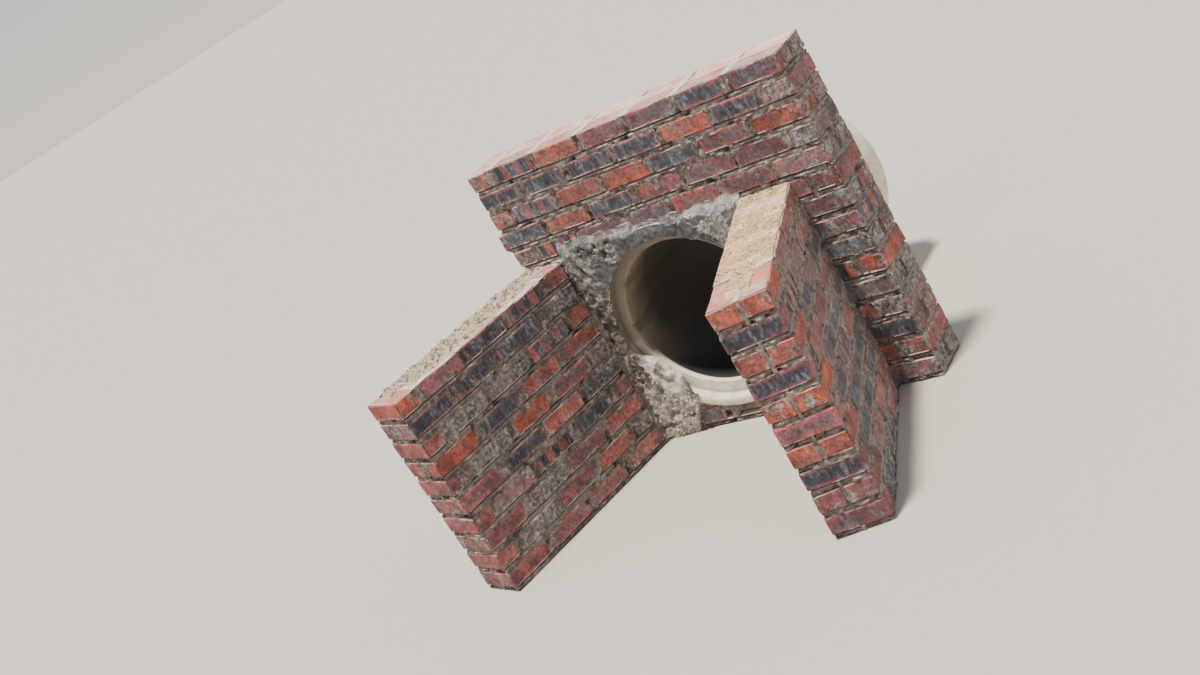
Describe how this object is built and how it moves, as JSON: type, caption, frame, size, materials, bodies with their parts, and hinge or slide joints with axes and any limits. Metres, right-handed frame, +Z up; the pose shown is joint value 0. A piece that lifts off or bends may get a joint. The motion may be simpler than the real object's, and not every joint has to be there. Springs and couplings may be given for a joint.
{
  "type": "culvert headwall",
  "caption": "Brick culvert headwall with splayed wing walls, built round the rebated mouth of a concrete pipe.",
  "frame": {"origin": "under the pipe's axis, in the middle of the underside of the headwall", "axes": "+X to the right seen from the front, +Y through the wall along the pipe, +Z up"},
  "size_m": [1.9443, 2.2025, 1.425],
  "materials": {
    "brickwork": "rough red clay brick with blue-black kiln marks, laid in grey mortar",
    "mortar": "rough grey-brown cement mortar",
    "concrete": "smooth cast concrete, pale and dusty"
  },
  "bodies": {
    "root": {"broken_brick": "brickwork", "crown_mortar": "mortar", "headwall_course_01": "brickwork", "headwall_course_02": "brickwork", "headwall_course_03": "brickwork", "headwall_course_04": "brickwork", "headwall_course_05": "brickwork", "headwall_course_06": "brickwork", "headwall_course_07": "brickwork", "headwall_course_08": "brickwork", "headwall_course_09": "brickwork", "headwall_course_10": "brickwork", "headwall_course_11": "brickwork", "headwall_course_12": "brickwork", "headwall_course_13": "brickwork", "headwall_course_14": "brickwork", "headwall_course_15": "brickwork", "left_heel_mortar": "mortar", "left_side_mortar": "mortar", "left_top_mortar": "mortar", "left_wing_course_01": "brickwork", "left_wing_course_02": "brickwork", "left_wing_course_03": "brickwork", "left_wing_course_04": "brickwork", "left_wing_course_05": "brickwork", "left_wing_course_06": "brickwork", "left_wing_course_07": "brickwork", "left_wing_course_08": "brickwork", "left_wing_course_09": "brickwork", "left_wing_course_10": "brickwork", "pipe": "concrete", "right_heel_mortar": "mortar", "right_side_mortar": "mortar", "right_top_mortar": "mortar", "right_wing_course_01": "brickwork", "right_wing_course_02": "brickwork", "right_wing_course_03": "brickwork", "right_wing_course_04": "brickwork", "right_wing_course_05": "brickwork", "right_wing_course_06": "brickwork", "right_wing_course_07": "brickwork", "right_wing_course_08": "brickwork", "right_wing_course_09": "brickwork", "right_wing_course_10": "brickwork"}
  },
  "joints": []
}
